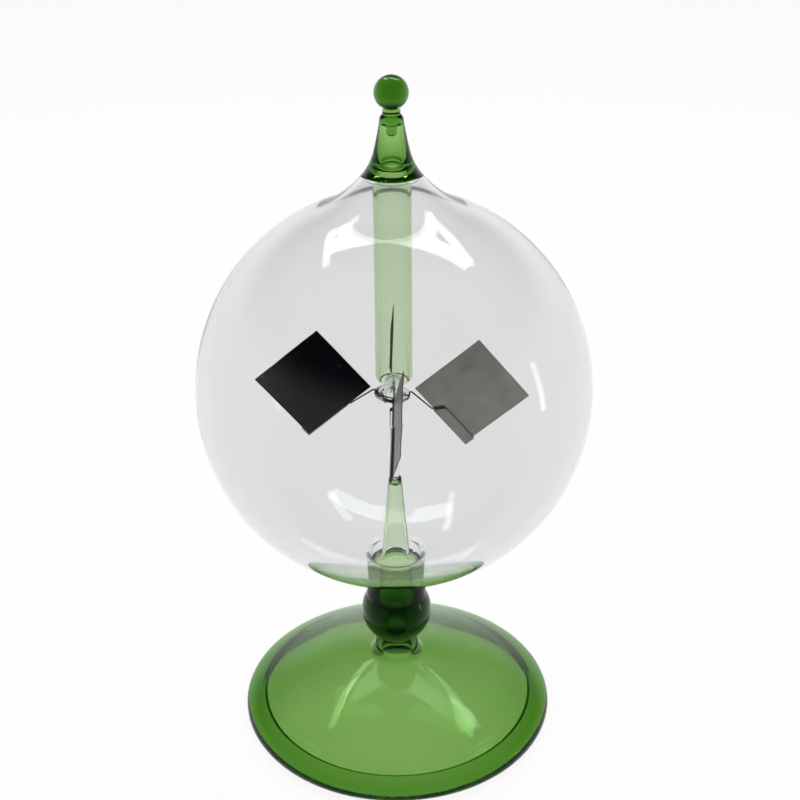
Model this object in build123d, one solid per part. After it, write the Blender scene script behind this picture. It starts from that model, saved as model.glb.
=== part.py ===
from build123d import *
import math
import os

# Crookes radiometer: a blown glass globe on a hollow green glass foot, with a
# four-vaned rotor that turns on a needle point inside it.
# Units are millimetres, +Z is up, and the origin is the centre of the ring
# that the foot stands on.

# Foot
foot_radius = 51.1
foot_edge_radius = 2.9
foot_edge_wrap = 62.0
foot_height = 21.8
foot_wall = 1.8
foot_ring_width = 2.6
foot_push_up = 12.5
foot_push_radius = 13.0
foot_push_slope = 0.12
foot_cavity_edge = 1.4

# Collar, knop and neck
collar_radius = 7.15
collar_height = 7.2
collar_bulge = 0.35
air_bore_radius = 2.5
knop_radius = 11.5
knop_bore_height = 10.0
neck_radius = 9.6
neck_wall = 1.3
neck_length = 12.0

# Seal ring under the globe and the stem that stands on it
bottom_seal_thickness = 1.8
bottom_seal_width = 3.6
stem_foot_radius = 7.4
stem_flare_height = 3.2
stem_root_radius = 4.6
stem_top_radius = 2.0
stem_wall = 0.9
stem_foot_wall = 1.4
stem_cap = 2.6

# Globe
globe_radius = 60.0
globe_half_height = 61.2
globe_wall = 1.1
globe_lip_width = 1.5
globe_lip_height = 0.9
globe_shoulder_radius = 23.1
globe_mouth_radius = 11.2
globe_neck_rise = 8.0

# Needle and the glass holder that it stands in
holder_radius = 1.5
holder_height = 24.0
needle_radius = 0.4
needle_length = 30.0
needle_depth = 18.7
needle_tip_over_centre = 3.95
needle_point_length = 2.2
needle_tip_radius = 0.04
needle_bore_clearance = 0.05

# Guard tube over the hub
guard_radius = 5.6
guard_wall = 1.1
guard_dip = 1.0
guard_lip = 0.45
guard_flare_radius = 2.4

# Seal ring over the globe and the finial
top_seal_thickness = 2.8
cone_knee_radius = 5.3
cone_knee_rise = 10.0
cone_throat_radius = 3.4
cone_throat_length = 9.0
cone_shoulder_height = 1.8
cone_shoulder_bulge = 0.25
waist_radius = 2.6
waist_length = 1.8
cone_cap = 6.4
cone_bore_radius = 2.3
cone_bore_length = 6.7
drop_radius = 1.5
drop_length = 2.4
finial_ball_radius = 4.95

# Rotor: cup on the needle, arm wires and vanes
rotor_lean = 5.7
rotor_turn = 2.0
vane_count = 4
cup_dome_radius = 2.65
cup_wall = 0.85
cup_depth = 7.0
cup_running_gap = 0.15
brim_radius = 5.5
brim_thickness = 0.9
cup_flare_height = 1.9
cup_mouth_flare = 0.6
vane_side = 25.0
vane_thickness = 0.2
vane_gap_to_brim = 1.22
vane_rise_over_brim = 2.15
hem_width = 3.0
hem_start = 9.4
hem_slant = 1.8
hem_overhang = 0.4
blacking_thickness = 0.08
blacking_margin = 0.05
wire_radius = 0.24
wire_seat_clearance = 0.03
wire_hook_reach = 1.9
wire_edge_gap = 0.35
wire_arch_gap = 1.4
wire_bend_radius = 0.5
wire_jog_lead = 0.7
wire_end_gap = 0.4

# Heights that follow from the sizes above
knop_foot_drop = math.sqrt(knop_radius**2 - collar_radius**2)
knop_neck_rise = math.sqrt(knop_radius**2 - neck_radius**2)
knop_foot_z = foot_height + collar_height
knop_centre_z = knop_foot_z + knop_foot_drop
neck_foot_z = knop_centre_z + knop_neck_rise
bottom_seal_z = neck_foot_z + neck_length
stem_foot_z = bottom_seal_z + bottom_seal_thickness
globe_foot_rise = globe_half_height * math.sqrt(1 - (neck_radius / globe_radius) ** 2)
globe_centre_z = stem_foot_z + globe_lip_height + globe_foot_rise
globe_shoulder_rise = globe_half_height * math.sqrt(1 - (globe_shoulder_radius / globe_radius) ** 2)
top_seal_z = globe_centre_z + globe_shoulder_rise + globe_neck_rise
cone_foot_z = top_seal_z + top_seal_thickness
cone_shoulder_z = top_seal_z + cone_knee_rise + cone_throat_length
waist_z = cone_shoulder_z + cone_shoulder_height
cone_top_z = waist_z + waist_length
cone_bore_top_z = cone_top_z - cone_cap
ball_drop = math.sqrt(finial_ball_radius**2 - waist_radius**2)
needle_tip_z = globe_centre_z + needle_tip_over_centre
needle_foot_z = needle_tip_z - needle_length
holder_top_z = needle_foot_z + needle_depth
holder_foot_z = holder_top_z - holder_height
guard_bore_radius = guard_radius - guard_wall
guard_foot_z = needle_tip_z - guard_dip
cup_bore_radius = cup_dome_radius - cup_wall
cup_dome_z = needle_tip_z + cup_running_gap - cup_bore_radius
brim_z = needle_tip_z + cup_running_gap + cup_wall - cup_depth
brim_low_z = brim_z - brim_thickness / 2
brim_high_z = brim_z + brim_thickness / 2

# Vane layout in the plane of one arm: distances out from the axis, and heights
vane_corner_out = brim_radius + vane_gap_to_brim
vane_corner_z = brim_z + vane_rise_over_brim
wire_seat_radius = wire_radius + wire_seat_clearance
vane_offset = wire_seat_radius + vane_thickness / 2
wire_out = brim_radius - wire_seat_radius - wire_seat_clearance
wire_hook_z = brim_low_z - wire_seat_radius


def turned(outline):
    """Solid turned about the vertical axis from a closed outline (radius, height)."""
    return revolve(Plane.XZ * make_face(outline), Axis.Z)


def slab(low, high, radius):
    """Disc between two heights, for cutting one piece out of a common form."""
    return Pos(0, 0, (low + high) / 2) * Cylinder(radius, high - low)


def ring(outer, inner, low, high):
    """Plain ring between two heights."""
    return slab(low, high, outer) - slab(low - 1, high + 1, inner)


# Foot, collar, knop and neck
def foot():
    """Hollow blown foot: domed top, rounded edge, flat standing ring, pushed-up bottom."""
    edge_out = foot_radius - foot_edge_radius
    ring_in = edge_out - foot_ring_width
    wrap = math.radians(foot_edge_wrap)
    edge = CenterArc((edge_out, foot_edge_radius), foot_edge_radius, -90, 90 + foot_edge_wrap)
    top = TangentArc(edge @ 1, (collar_radius, foot_height), tangent=(-math.sin(wrap), math.cos(wrap)))
    under = TangentArc((foot_push_radius, foot_push_up), (ring_in, 0), tangent=(1, -foot_push_slope))
    body = turned(
        edge
        + top
        + Polyline((collar_radius, foot_height), (0, foot_height), (0, foot_push_up))
        + Line((0, foot_push_up), (foot_push_radius, foot_push_up))
        + under
        + Line((ring_in, 0), (edge_out, 0))
    )
    return body - foot_cavity() - slab(foot_height - 2 * foot_wall, foot_height + 1, air_bore_radius)


def foot_cavity():
    """Air space between the foot's top and its pushed-up bottom."""
    edge_out = foot_radius - foot_edge_radius
    wrap = math.radians(foot_edge_wrap)
    inner_edge = CenterArc((edge_out, foot_edge_radius), foot_cavity_edge, -90, 90 + foot_edge_wrap)
    roof = TangentArc(
        inner_edge @ 1,
        (collar_radius, foot_height - foot_wall),
        tangent=(-math.sin(wrap), math.cos(wrap)),
    )
    floor_z = foot_push_up + foot_wall
    floor = TangentArc(
        (foot_push_radius, floor_z),
        (edge_out, foot_edge_radius - foot_cavity_edge),
        tangent=(1, -foot_push_slope),
    )
    return turned(
        inner_edge
        + roof
        + Polyline((collar_radius, foot_height - foot_wall), (0, foot_height - foot_wall), (0, floor_z))
        + Line((0, floor_z), (foot_push_radius, floor_z))
        + floor
    )


def foot_collar():
    """Short bead between foot and knop, bored through."""
    low = foot_height
    high = knop_foot_z
    side = ThreePointArc(
        (collar_radius, low),
        (collar_radius + collar_bulge, (low + high) / 2),
        (collar_radius, high),
    )
    walls = Polyline(
        (collar_radius, high), (air_bore_radius, high), (air_bore_radius, low), (collar_radius, low)
    )
    return turned(side + walls)


def knop():
    """Thick glass ball cut flat above and below, with a round-ended air bore from below."""
    ball = Pos(0, 0, knop_centre_z) * Sphere(knop_radius)
    body = ball & slab(knop_foot_z, neck_foot_z, knop_radius + 1)
    bore_top = knop_foot_z + knop_bore_height - air_bore_radius
    bore = slab(knop_foot_z - 1, bore_top, air_bore_radius)
    bore_end = Pos(0, 0, bore_top) * Sphere(air_bore_radius)
    return body - bore - bore_end


def neck_tube():
    """Thin tube from the top of the knop to the seal under the globe."""
    return ring(neck_radius, neck_radius - neck_wall, neck_foot_z, bottom_seal_z)


# Stem side
def bottom_seal():
    """Glass ring that closes the joint of neck, globe and stem."""
    return ring(neck_radius, neck_radius - bottom_seal_width, bottom_seal_z, stem_foot_z)


def stem_tube():
    """Tube that flares onto the seal and is drawn to a closed top."""
    low = stem_foot_z
    high = holder_foot_z
    knee = low + stem_flare_height
    taper = (stem_root_radius - stem_top_radius) / (high - knee)
    flare = TangentArc((stem_root_radius, knee), (stem_foot_radius, low), tangent=(taper, -1))
    side = Line((stem_root_radius, knee), (stem_top_radius, high))
    outer = turned(
        flare
        + side
        + Polyline((stem_top_radius, high), (0, high), (0, low), (stem_foot_radius, low))
    )
    bore_low = stem_foot_radius - stem_foot_wall
    bore_high = high - stem_cap
    bore_end = stem_top_radius + taper * stem_cap - stem_wall
    bore_knee = stem_root_radius - stem_wall
    bore_flare = TangentArc((bore_knee, knee), (bore_low, low), tangent=(taper, -1))
    bore = turned(
        bore_flare
        + Line((bore_knee, knee), (bore_end, bore_high))
        + Polyline((bore_end, bore_high), (0, bore_high), (0, low), (bore_low, low))
    )
    return outer - bore


def needle_holder():
    """Clear glass rod on top of the stem, bored to take the needle."""
    rod = slab(holder_foot_z, holder_top_z, holder_radius)
    return rod - slab(needle_foot_z, holder_top_z + 1, needle_radius + needle_bore_clearance)


def needle():
    """Steel needle, ground to a fine point."""
    shank_top = needle_tip_z - needle_point_length
    shank = slab(needle_foot_z, shank_top, needle_radius)
    point = Pos(0, 0, shank_top + needle_point_length / 2) * Cone(
        needle_radius, needle_tip_radius, needle_point_length
    )
    return shank + point


# Globe and finial
def globe_ellipse(inset):
    """Side of the globe, from its lowest point to its shoulder, at a distance inside its outer face."""
    shoulder_angle = math.degrees(math.acos(globe_shoulder_radius / globe_radius))
    return EllipticalCenterArc(
        (0, globe_centre_z),
        globe_radius - inset,
        globe_half_height - inset,
        start_angle=-90,
        arc_size=90 + shoulder_angle,
    )


def glass_form():
    """Outer form of globe and finial cone in one: an ellipse, then three arcs that run on."""
    side = globe_ellipse(0)
    flare = TangentArc(side @ 1, (globe_mouth_radius, top_seal_z), tangent=side % 1)
    cone = TangentArc(flare @ 1, (cone_knee_radius, top_seal_z + cone_knee_rise), tangent=flare % 1)
    throat = TangentArc(cone @ 1, (cone_throat_radius, cone_shoulder_z), tangent=cone % 1)
    axis = Polyline(throat @ 1, (0, cone_shoulder_z), side @ 0)
    return turned(side + flare + cone + throat + axis)


def globe_hollow():
    """Space inside the globe, up to its mouth."""
    mouth = globe_mouth_radius - globe_lip_width
    side = globe_ellipse(globe_wall)
    flare = TangentArc(side @ 1, (mouth, top_seal_z), tangent=side % 1)
    axis = Polyline((mouth, top_seal_z), (0, top_seal_z), side @ 0)
    return turned(side + flare + axis)


def bulb():
    """Clear globe, open at both poles, with a short lip that stands on the seal."""
    shell = glass_form() & slab(stem_foot_z, top_seal_z, globe_radius + 1)
    lip = slab(stem_foot_z, stem_foot_z + 2 * globe_lip_height, neck_radius)
    lip_bore = slab(stem_foot_z - 1, globe_centre_z, neck_radius - globe_lip_width)
    return shell + lip - globe_hollow() - lip_bore


def guard_tube():
    """Tube that hangs over the hub, flared onto the top seal, with a turned-in mouth."""
    bore = guard_bore_radius
    flare_z = top_seal_z - guard_flare_radius
    mouth_z = guard_foot_z + guard_lip
    flare = CenterArc(
        (guard_radius + guard_flare_radius, flare_z), guard_flare_radius, 90, 90
    )
    side = Line((guard_radius, flare_z), (guard_radius, mouth_z + guard_wall))
    lip = Polyline(
        (guard_radius, mouth_z + guard_wall),
        (guard_radius - guard_lip, guard_foot_z + guard_lip / 2),
        (guard_radius - 2 * guard_lip, guard_foot_z),
        (bore - guard_lip, guard_foot_z),
        (bore, mouth_z + guard_wall),
        (bore, top_seal_z),
        (guard_radius + guard_flare_radius, top_seal_z),
    )
    return turned(flare + side + lip)


def top_seal():
    """Glass ring that closes the joint of globe, guard tube and finial."""
    disc = glass_form() & slab(top_seal_z, cone_foot_z, globe_radius)
    return disc - slab(top_seal_z - 1, cone_foot_z + 1, guard_bore_radius)


def finial_cone():
    """Hollow cone with a waist on top and a glass drop hanging in its bore."""
    cone = glass_form() & slab(cone_foot_z, cone_shoulder_z, globe_radius)
    shoulder = ThreePointArc(
        (cone_throat_radius, cone_shoulder_z),
        (cone_throat_radius - cone_shoulder_bulge, (cone_shoulder_z + waist_z) / 2),
        (waist_radius, waist_z),
    )
    waist = Polyline(
        (waist_radius, waist_z),
        (waist_radius, cone_top_z),
        (0, cone_top_z),
        (0, cone_shoulder_z),
        (cone_throat_radius, cone_shoulder_z),
    )
    return cone + turned(shoulder + waist) - cone_bore()


def cone_bore():
    """Bore of the finial cone: a flare from below, a straight throat, a ring round the drop."""
    straight_z = cone_bore_top_z - cone_bore_length
    flare = TangentArc((cone_bore_radius, straight_z), (guard_bore_radius, cone_foot_z), tangent=(0, -1))
    bore = turned(
        flare
        + Polyline(
            (cone_bore_radius, straight_z),
            (cone_bore_radius, cone_bore_top_z),
            (0, cone_bore_top_z),
            (0, cone_foot_z),
            (guard_bore_radius, cone_foot_z),
        )
    )
    drop_z = cone_bore_top_z - drop_length + drop_radius
    drop = slab(drop_z, cone_bore_top_z, drop_radius) + Pos(0, 0, drop_z) * Sphere(drop_radius)
    return bore - drop


def finial_ball():
    """Ball at the very top, cut flat where it sits on the waist."""
    centre = cone_top_z + ball_drop
    ball = Pos(0, 0, centre) * Sphere(finial_ball_radius)
    return ball & slab(cone_top_z, centre + finial_ball_radius + 1, finial_ball_radius + 1)


# Rotor, modelled upright about the vertical axis
def hub_cup():
    """Glass cup with a domed top and a flat brim, notched for the arm wires."""
    knee_z = brim_high_z + cup_flare_height
    knee_out = cup_dome_radius + cup_flare_height
    flare = CenterArc((knee_out, knee_z), cup_flare_height, 180, 90)
    outer = turned(
        CenterArc((0, cup_dome_z), cup_dome_radius, 0, 90)
        + Line((cup_dome_radius, cup_dome_z), (cup_dome_radius, knee_z))
        + flare
        + Polyline(
            (knee_out, brim_high_z),
            (brim_radius, brim_high_z),
            (brim_radius, brim_low_z),
            (0, brim_low_z),
            (0, cup_dome_z + cup_dome_radius),
        )
    )
    hollow = turned(
        CenterArc((0, cup_dome_z), cup_bore_radius, 0, 90)
        + Polyline(
            (cup_bore_radius, cup_dome_z),
            (cup_bore_radius, brim_high_z),
            (cup_bore_radius + cup_mouth_flare, brim_low_z),
            (0, brim_low_z),
            (0, cup_dome_z + cup_bore_radius),
        )
    )
    cup = outer - hollow
    for index in range(vane_count):
        cup -= Rot(0, 0, index * 360 / vane_count) * brim_notch()
    return cup


def brim_notch():
    """Round-ended notch in the brim that one arm wire passes through."""
    height = 2 * brim_thickness
    reach = 2 * wire_seat_radius
    seat = Pos(wire_out, 0, brim_z) * Cylinder(wire_seat_radius, height)
    return seat + Pos(wire_out + reach / 2, 0, brim_z) * Box(reach, 2 * wire_seat_radius, height)


def on_vane(along, inward):
    """Point (distance out, height) from a place along the vane's lower edge and in from it."""
    out = vane_corner_out + (along + inward) / math.sqrt(2)
    high = vane_corner_z + (inward - along) / math.sqrt(2)
    return (out, high)


def vane_plane(offset):
    """Plane whose X runs along the vane's lower inner edge and whose Y runs across the vane."""
    out, high = on_vane(0, 0)
    return Plane(origin=(out, offset, high), x_dir=(1, 0, -1), z_dir=(0, -1, 0))


def arm_wire():
    """Wire hooked under the brim, arched over it, run down the vane's edge and into the hem."""
    hem_line = hem_width - wire_seat_radius
    jog_start = on_vane(hem_start - wire_jog_lead, -wire_edge_gap)
    jog_end = on_vane(hem_start + hem_slant - wire_jog_lead, hem_line)
    arch_side = on_vane(0, -wire_arch_gap)
    slope = (jog_start[1] - arch_side[1]) / (jog_start[0] - arch_side[0])
    arch = (wire_out, jog_start[1] + slope * (wire_out - jog_start[0]))
    bend = min(wire_bend_radius, (arch[1] - wire_hook_z) / 3)
    route = FilletPolyline(
        (wire_out - wire_hook_reach, wire_hook_z),
        (wire_out, wire_hook_z),
        arch,
        jog_start,
        jog_end,
        on_vane(vane_side + hem_overhang - wire_end_gap, hem_line),
        radius=[wire_seat_radius, bend, bend, bend],
    )
    path = Plane.XZ * route
    section = Plane(origin=path @ 0, z_dir=path % 0) * Circle(wire_radius)
    return sweep(section, path=path)


def vane_sheet():
    """Square sheet set corner to the hub, with a hem folded over the wire on its bright side."""
    half = vane_thickness / 2
    hem_end = vane_side + hem_overhang
    square = Pos(vane_side / 2, vane_side / 2) * Rectangle(vane_side, vane_side)
    tab = Pos(vane_side + hem_overhang / 2, hem_width / 2) * Rectangle(hem_overhang, hem_width)
    sheet = extrude(vane_plane(vane_offset) * (square + tab), half, both=True)
    flap_outline = Polyline(
        (hem_start, 0),
        (hem_start + hem_slant, hem_width),
        (hem_end, hem_width),
        (hem_end, 0),
        close=True,
    )
    flap = extrude(vane_plane(-vane_offset) * make_face(flap_outline), half, both=True)
    return sheet + flap + hem_fold(hem_end - hem_start)


def hem_fold(length):
    """Half-round bend that joins the hem's flap to the sheet."""
    outer = vane_offset + vane_thickness / 2
    inner = vane_offset - vane_thickness / 2
    bend = Cylinder(outer, length) - Cylinder(inner, length + 1)
    outside = Pos(-outer, 0, 0) * Box(2 * outer, 2 * outer, length)
    out, high = on_vane(hem_start + length / 2, 0)
    along_edge = Plane(origin=(out, 0, high), x_dir=(1, 0, 1), z_dir=(1, 0, -1))
    return along_edge.location * (bend & outside)


def vane_blacking():
    """Lamp-black coat on the dull side of one vane."""
    side = vane_side - 2 * blacking_margin
    coat = Pos(vane_side / 2, vane_side / 2) * Rectangle(side, side)
    return extrude(vane_plane(vane_offset + vane_thickness / 2) * coat, -blacking_thickness)


def leaned(piece, index=0):
    """Rotor piece turned to its place on the rotor, then leaned about the needle's point."""
    turned_piece = Rot(0, 0, rotor_turn + index * 360 / vane_count) * piece
    tip = Pos(0, 0, needle_tip_z)
    return tip * Rot(0, rotor_lean, 0) * tip.inverse() * turned_piece


stand_pieces = {
    "foot": foot,
    "foot_collar": foot_collar,
    "knop": knop,
    "neck_tube": neck_tube,
    "bottom_seal": bottom_seal,
    "stem_tube": stem_tube,
    "bulb": bulb,
    "needle_holder": needle_holder,
    "needle": needle,
    "guard_tube": guard_tube,
    "top_seal": top_seal,
    "finial_cone": finial_cone,
    "finial_ball": finial_ball,
}

vane_pieces = {
    "arm_wire": arm_wire(),
    "vane_sheet": vane_sheet(),
    "vane_blacking": vane_blacking(),
}

os.makedirs("parts", exist_ok=True)
for name, make in stand_pieces.items():
    export_step(make(), f"parts/{name}.step")
export_step(leaned(hub_cup()), "parts/hub_cup.step")
for name, piece in vane_pieces.items():
    for index in range(vane_count):
        export_step(leaned(piece, index), f"parts/{name}_{index + 1}.step")
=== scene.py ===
"""Light mill: a clear glass globe on a blown green glass foot, with a four-vaned rotor inside.

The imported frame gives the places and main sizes. Every glass piece is drawn here as half a section
and spun about the vertical axis, so that its walls, bores and air spaces refract as the real ones
do. Sizes are in millimetres, except those of the studio, which are in metres.
"""

import logging
import math
from dataclasses import dataclass
from enum import Enum
from typing import Callable

import bpy
from mathutils import Matrix, Vector

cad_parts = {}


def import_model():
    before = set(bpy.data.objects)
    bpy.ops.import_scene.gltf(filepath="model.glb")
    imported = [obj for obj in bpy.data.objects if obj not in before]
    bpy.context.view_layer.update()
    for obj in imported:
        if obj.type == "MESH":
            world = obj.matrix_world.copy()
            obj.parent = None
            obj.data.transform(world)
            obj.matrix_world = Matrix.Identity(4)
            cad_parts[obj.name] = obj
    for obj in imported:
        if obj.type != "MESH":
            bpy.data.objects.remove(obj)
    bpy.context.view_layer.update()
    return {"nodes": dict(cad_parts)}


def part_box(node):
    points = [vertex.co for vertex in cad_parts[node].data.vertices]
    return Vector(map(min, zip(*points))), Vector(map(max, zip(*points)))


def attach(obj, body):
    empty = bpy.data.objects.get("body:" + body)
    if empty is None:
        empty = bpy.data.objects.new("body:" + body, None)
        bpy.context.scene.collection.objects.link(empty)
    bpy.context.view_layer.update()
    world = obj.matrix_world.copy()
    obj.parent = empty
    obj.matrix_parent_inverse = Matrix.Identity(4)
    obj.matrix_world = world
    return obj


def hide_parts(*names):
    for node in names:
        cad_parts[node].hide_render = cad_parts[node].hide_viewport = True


LOG = logging.getLogger("light_mill")
MM = 0.001
AXIS_Z = (0.0, 0.0, 1.0)
WHITE = (1.0, 1.0, 1.0, 1.0)
# Points nearer than this, in metres, are one point.
SAME_POINT = 2e-6
# An arc that turns less than this, in radians, is drawn straight.
STRAIGHT = math.radians(0.05)
# Turn from chord to chord: the least on an arc, and the most on the globe's ellipse.
FINEST_TURN = math.radians(1.0)
ELLIPSE_TURN = math.radians(1.6)
# Corners sharper than this are rounded where a piece is fire-polished.
POLISH_ANGLE = math.radians(38.0)
POLISH_SEGMENTS = 3
# The clear glass starts a little lower, and ends a little higher, than the frame's bulb node.
SEAL_DROP = 2.4
MOUTH_RISE = 3.37

Point = tuple[float, float]
Material = bpy.types.Material
Piece = bpy.types.Object
Socket = bpy.types.NodeSocket
Tree = bpy.types.NodeTree


class Body(Enum):
    """Bodies of the frame that a piece can ride on."""

    STAND = "stand"
    ROTOR = "rotor"


class Slot(Enum):
    """Names of material slots that match the pieces drawn here; this script gives no piece a slot.
    """

    GREEN_GLASS = "green_glass"
    PALE_GREEN_GLASS = "pale_green_glass"
    CLEAR_GLASS = "clear_glass"
    NEEDLE_STEEL = "needle_steel"
    VANE_METAL = "vane_metal"
    LAMP_BLACK = "lamp_black"


# Colours and nodes


def linear(hex_colour: str) -> tuple[float, float, float, float]:
    """Turns an sRGB colour into the linear one that shaders use.

    Args:
        hex_colour: Six hex digits after a hash sign.

    Returns:
        Linear red, green, blue and an alpha of one.
    """

    def channel(value: float) -> float:
        """Linear value of one sRGB channel."""
        return value / 12.92 if value <= 0.04045 else ((value + 0.055) / 1.055) ** 2.4

    red, green, blue = (int(hex_colour[i : i + 2], 16) / 255 for i in (1, 3, 5))
    return (channel(red), channel(green), channel(blue), 1.0)


def per_metre(size_mm: float) -> float:
    """Texture scale that gives a pattern features of about this size."""
    return 1 / (size_mm * MM)


def add_node(
    tree: Tree, kind: str, settings: dict[str, object] | None = None, **links: object
) -> bpy.types.Node:
    """Adds a node with its settings and the links or values of its inputs.

    Args:
        tree: Node tree that takes the node.
        kind: Blender's class name of the node.
        settings: Attributes set on the node itself.
        **links: Input name, with underscores for spaces, or i and the input's number, to a value or
            to another node's output.

    Returns:
        The new node.
    """
    node = tree.nodes.new(kind)
    for key, value in (settings or {}).items():
        setattr(node, key, value)
    for key, value in links.items():
        name = key.replace("_", " ")
        numbered = name[0] == "i" and name[1:].isdigit()
        socket = node.inputs[int(name[1:]) if numbered else name]
        if isinstance(value, Socket):
            tree.links.new(value, socket)
        else:
            socket.default_value = value
    return node


def empty_tree(name: str) -> tuple[Material, Tree, bpy.types.Node]:
    """New material with nothing but its output.

    Args:
        name: Name of the material.

    Returns:
        The material, its node tree and its output node.
    """
    material = bpy.data.materials.new(name)
    material.use_nodes = True
    tree = material.node_tree
    tree.nodes.clear()
    return material, tree, tree.nodes.new("ShaderNodeOutputMaterial")


def noise(tree: Tree, size_mm: float, **values: float) -> Socket:
    """Noise that is fixed to the piece, with features of about this size."""
    place = add_node(tree, "ShaderNodeTexCoord").outputs["Object"]
    cloud = add_node(tree, "ShaderNodeTexNoise", Vector=place, Scale=per_metre(size_mm), **values)
    return cloud.outputs["Fac"]


def bump(tree: Tree, height: Socket, depth_mm: float, strength: float = 1.0) -> Socket:
    """Shading normal that follows a height pattern of a given depth."""
    distance = depth_mm * MM
    node = add_node(tree, "ShaderNodeBump", Height=height, Strength=strength, Distance=distance)
    return node.outputs["Normal"]


def mix_colours(tree: Tree, factor: Socket, first: object, second: object) -> Socket:
    """Blend of two colours, each a value or another node's output."""
    settings = {"data_type": "RGBA"}
    return add_node(tree, "ShaderNodeMix", settings, Factor=factor, i6=first, i7=second).outputs[2]


def shader(tree: Tree, kind: str, **links: object) -> Socket:
    """Output of a new shader node, with the links or values of its inputs."""
    return add_node(tree, f"ShaderNode{kind}", **links).outputs[0]


def calculate(tree: Tree, operation: str, left: object, right: object) -> Socket:
    """Result of one of Blender's sums on two values, each a number or another node's output."""
    node = add_node(tree, "ShaderNodeMath", {"operation": operation}, i0=left, i1=right)
    return node.outputs["Value"]


# Finishes


@dataclass(frozen=True)
class Glass:
    """Soda-lime glass, free-blown or drawn over a flame, with a fire-polished surface.

    The eye sees an almost perfectly smooth skin with slow waves in it, and a colour that deepens
    with the thickness that the light has to pass.

    Attributes:
        skin: Tint that light takes on at the surface.
        absorbed: Tint that it takes on inside.
        density_per_mm: How soon it takes on that tint.
        shadow: Tint of the light that falls through to other surfaces.
        wave_mm: Size of the waves in the skin.
        wave_depth_mm: Depth of those waves.
        gloss: Strength and tint of the reflections.
        ior: Index of refraction.
    """

    name: str
    skin: str
    absorbed: str
    density_per_mm: float
    shadow: str
    wave_mm: float
    wave_depth_mm: float
    gloss: str
    ior: float = 1.52

    def material(self) -> Material:
        """Builds the node material."""
        material, tree, output = empty_tree(self.name)
        waves = noise(tree, self.wave_mm, Detail=1.0, Roughness=0.3)
        glass = shader(
            tree,
            "BsdfPrincipled",
            Base_Color=linear(self.skin),
            Roughness=0.0,
            IOR=self.ior,
            Transmission_Weight=1.0,
            Specular_Tint=linear(self.gloss),
            Normal=bump(tree, waves, self.wave_depth_mm),
        )
        shadow = shader(tree, "BsdfTransparent", Color=linear(self.shadow))
        is_shadow = add_node(tree, "ShaderNodeLightPath").outputs["Is Shadow Ray"]
        mix = shader(tree, "MixShader", Fac=is_shadow, i1=glass, i2=shadow)
        density = self.density_per_mm / MM
        body = shader(tree, "VolumeAbsorption", Color=linear(self.absorbed), Density=density)
        tree.links.new(mix, output.inputs["Surface"])
        tree.links.new(body, output.inputs["Volume"])
        return material


@dataclass(frozen=True)
class Metal:
    """Bare metal with slight unevenness of colour and polish."""

    name: str
    colour: str
    stain: str
    roughness: float
    grain_mm: float
    grain_depth_mm: float
    smoothest: float = 0.7
    roughest: float = 1.3

    def material(self) -> Material:
        """Builds the node material."""
        material, tree, output = empty_tree(self.name)
        cloud = noise(tree, self.grain_mm, Detail=4.0, Roughness=0.6)
        polish = add_node(
            tree,
            "ShaderNodeMapRange",
            Value=cloud,
            To_Min=self.roughness * self.smoothest,
            To_Max=self.roughness * self.roughest,
        )
        metal = shader(
            tree,
            "BsdfPrincipled",
            Base_Color=mix_colours(tree, cloud, linear(self.colour), linear(self.stain)),
            Metallic=1.0,
            Roughness=polish.outputs["Result"],
            Normal=bump(tree, cloud, self.grain_depth_mm),
        )
        tree.links.new(metal, output.inputs["Surface"])
        return material


@dataclass(frozen=True)
class LampBlack:
    """Soot deposited from a flame: dead matt, blue-black, with bare pin-holes and flecks."""

    name: str = "lamp_black_soot"
    soot: str = "#02060D"
    thin: str = "#060B14"
    fleck: str = "#6E7278"
    grain_mm: float = 0.35
    grain_depth_mm: float = 0.02
    fleck_spacing_mm: float = 6.0
    fleck_size: float = 0.045

    def material(self) -> Material:
        """Builds the node material."""
        material, tree, output = empty_tree(self.name)
        grain = noise(tree, self.grain_mm, Detail=3.0)
        soot = mix_colours(tree, grain, linear(self.soot), linear(self.thin))
        cells = add_node(
            tree,
            "ShaderNodeTexVoronoi",
            Vector=add_node(tree, "ShaderNodeTexCoord").outputs["Object"],
            Scale=per_metre(self.fleck_spacing_mm),
        )
        flecks = calculate(tree, "LESS_THAN", cells.outputs["Distance"], self.fleck_size)
        coat = shader(
            tree,
            "BsdfPrincipled",
            Base_Color=mix_colours(tree, flecks, soot, linear(self.fleck)),
            Roughness=0.85,
            Specular_IOR_Level=0.05,
            Normal=bump(tree, grain, self.grain_depth_mm, strength=0.6),
        )
        tree.links.new(coat, output.inputs["Surface"])
        return material


GREEN = Glass(
    "bottle_green_blown_glass",
    skin="#FFFFFF",
    absorbed="#AAD566",
    density_per_mm=0.6,
    shadow="#8FBF72",
    wave_mm=14.0,
    wave_depth_mm=0.12,
    gloss="#617F5A",
)
PALE_GREEN = Glass(
    "pale_green_drawn_tube_glass",
    skin="#FFFFFF",
    absorbed="#BFDC9C",
    density_per_mm=0.42,
    shadow="#C4DDB4",
    wave_mm=16.0,
    wave_depth_mm=0.05,
    gloss="#8FA68C",
)
CLEAR = Glass(
    "clear_blown_globe_glass",
    skin="#EEEFEF",
    absorbed="#F4F8F6",
    density_per_mm=0.02,
    shadow="#F4F6F5",
    wave_mm=30.0,
    wave_depth_mm=0.05,
    gloss="#7E8080",
)
CLEAR_TUBE = Glass(
    "clear_drawn_tube_glass",
    skin="#F4F5F5",
    absorbed="#F4F8F6",
    density_per_mm=0.02,
    shadow="#F4F6F5",
    wave_mm=10.0,
    wave_depth_mm=0.02,
    gloss="#B4B6B6",
)
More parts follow.
